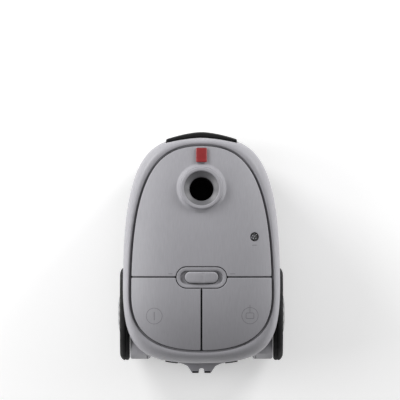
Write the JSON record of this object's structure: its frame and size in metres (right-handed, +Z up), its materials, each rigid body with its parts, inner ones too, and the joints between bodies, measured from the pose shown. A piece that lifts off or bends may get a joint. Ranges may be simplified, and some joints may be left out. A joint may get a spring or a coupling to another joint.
{
  "type": "canister vacuum cleaner",
  "caption": "Canister vacuum cleaner for dust bags, with two large rear wheels, a front caster, a hinged lid that carries the hose inlet, foot pedals and a carry handle.",
  "frame": {"origin": "on the floor, under the centre of the bounding box", "axes": "+Z up, +Y towards the front with the carry handle and hose inlet, +X to the machine's right side"},
  "size_m": [0.29, 0.42, 0.2299],
  "materials": {
    "grey_shell": "satin moulded shell",
    "black_plastic": "fine-textured black",
    "black_gloss": "glossy black",
    "black_rubber": "soft matt",
    "red_plastic": "satin red",
    "steel": "plain",
    "white_plastic": "natural",
    "filter_fleece": "non-woven",
    "bag_fleece": "non-woven",
    "card": "pressed board",
    "lens": "smoked",
    "board": "solder resist"
  },
  "bodies": {
    "chassis": {"upper_housing": "grey_shell", "base_housing": "black_plastic", "rear_corner_right": "grey_shell", "rear_corner_left": "grey_shell", "exhaust_filter": "filter_fleece", "carry_handle": "black_plastic", "handle_recess": "black_plastic", "hinge_pin_right": "steel", "hinge_pin_left": "steel", "bay_frame": "black_plastic", "lid_seal": "black_rubber", "rear_deck": "black_plastic", "bezel": "grey_shell", "speed_pot": "black_plastic", "control_board": "board", "pedal_shaft_left": "steel", "pedal_shaft_right": "steel", "pedal_spring_left": "steel", "pedal_spring_right": "steel", "axle_left": "steel", "axle_right": "steel", "power_switch": "black_plastic", "bag_collar": "card", "bag_seal": "black_rubber", "bag_holder": "black_plastic", "dust_bag": "bag_fleece", "bulkhead": "black_plastic", "motor_filter": "filter_fleece", "fan_cover": "steel", "motor_frame": "black_plastic", "motor_seal": "black_rubber", "reel_pin": "steel", "lever_pin": "steel", "cord_gland": "black_rubber"},
    "lid_body": {"lid": "grey_shell", "inlet_cone": "grey_shell", "inlet_tube": "black_plastic", "latch_pin": "steel", "indicator_cup": "black_plastic", "indicator_lens": "lens"},
    "latch": {"lid_latch": "red_plastic"},
    "flag": {"indicator_flag": "white_plastic"},
    "knob": {"speed_knob": "grey_shell"},
    "power_button": {"power_pedal": "grey_shell"},
    "rewind_button": {"rewind_pedal": "grey_shell"},
    "wheel_left": {"tyre_left": "black_rubber", "hub_left": "black_gloss"},
    "wheel_right": {"tyre_right": "black_rubber", "hub_right": "black_gloss"},
    "caster": {"caster_fork": "black_plastic", "caster_pin": "steel"},
    "caster_roller": {"caster_wheel": "black_rubber"},
    "fan": {"impeller": "steel", "rotor": "steel"},
    "reel": {"reel_drum": "white_plastic", "reel_spring_case": "black_plastic"},
    "brake": {"brake_lever": "white_plastic"},
    "cover": {"exhaust_cover": "grey_shell", "rear_pad_right": "black_rubber", "rear_pad_left": "black_rubber"}
  },
  "joints": [
    {"name": "lid_hinge", "type": "hinge", "parent": "chassis", "child": "lid_body", "pos_m": [0, -0.0394, 0.22], "axis": [1, 0, 0], "range_deg": [0, 70]},
    {"name": "latch_pivot", "type": "hinge", "parent": "lid_body", "child": "latch", "pos_m": [0, 0.176, 0.183], "axis": [-1, 0, 0], "range_deg": [0, 12], "stiffness_Nm_per_rad": 0.1, "springref_deg": -17.19},
    {"name": "flag_slide", "type": "slide", "parent": "lid_body", "child": "flag", "axis": [1, 0, 0], "range_m": [0, 0.004]},
    {"name": "knob_slide", "type": "slide", "parent": "chassis", "child": "knob", "axis": [1, 0, 0], "range_m": [-0.007, 0.007]},
    {"name": "power_press", "type": "hinge", "parent": "chassis", "child": "power_button", "pos_m": [-0.07, -0.053, 0.203], "axis": [1, 0, 0], "range_deg": [0, 2.6], "stiffness_Nm_per_rad": 6, "springref_deg": -2.86, "deforming": ["pedal_spring_left"]},
    {"name": "rewind_press", "type": "hinge", "parent": "chassis", "child": "rewind_button", "pos_m": [0.07, -0.053, 0.203], "axis": [1, 0, 0], "range_deg": [0, 2.6], "stiffness_Nm_per_rad": 6, "springref_deg": -2.86, "deforming": ["pedal_spring_right"]},
    {"name": "wheel_left_spin", "type": "hinge", "parent": "chassis", "child": "wheel_left", "pos_m": [-0.13, -0.107, 0.081], "axis": [1, 0, 0], "continuous": true},
    {"name": "wheel_right_spin", "type": "hinge", "parent": "chassis", "child": "wheel_right", "pos_m": [0.13, -0.107, 0.081], "axis": [1, 0, 0], "continuous": true},
    {"name": "caster_swivel", "type": "hinge", "parent": "chassis", "child": "caster", "pos_m": [0, 0.128, 0.05], "axis": [0, 0, 1], "continuous": true},
    {"name": "caster_spin", "type": "hinge", "parent": "caster", "child": "caster_roller", "pos_m": [0, 0.115, 0.021], "axis": [1, 0, 0], "continuous": true},
    {"name": "fan_spin", "type": "hinge", "parent": "chassis", "child": "fan", "pos_m": [-0.052, -0.09, 0.098], "axis": [0, 1, 0], "continuous": true},
    {"name": "reel_spin", "type": "hinge", "parent": "chassis", "child": "reel", "pos_m": [0.045, -0.098, 0.098], "axis": [1, 0, 0], "continuous": true},
    {"name": "brake_pivot", "type": "hinge", "parent": "chassis", "child": "brake", "pos_m": [0.06, -0.108, 0.1728], "axis": [1, 0, 0], "range_deg": [0, 5], "stiffness_Nm_per_rad": 0.05, "springref_deg": -5.73},
    {"name": "cover_hinge", "type": "hinge", "parent": "chassis", "child": "cover", "pos_m": [0, -0.1886, 0.0456], "axis": [1, 0, 0], "range_deg": [0, 60]}
  ]
}
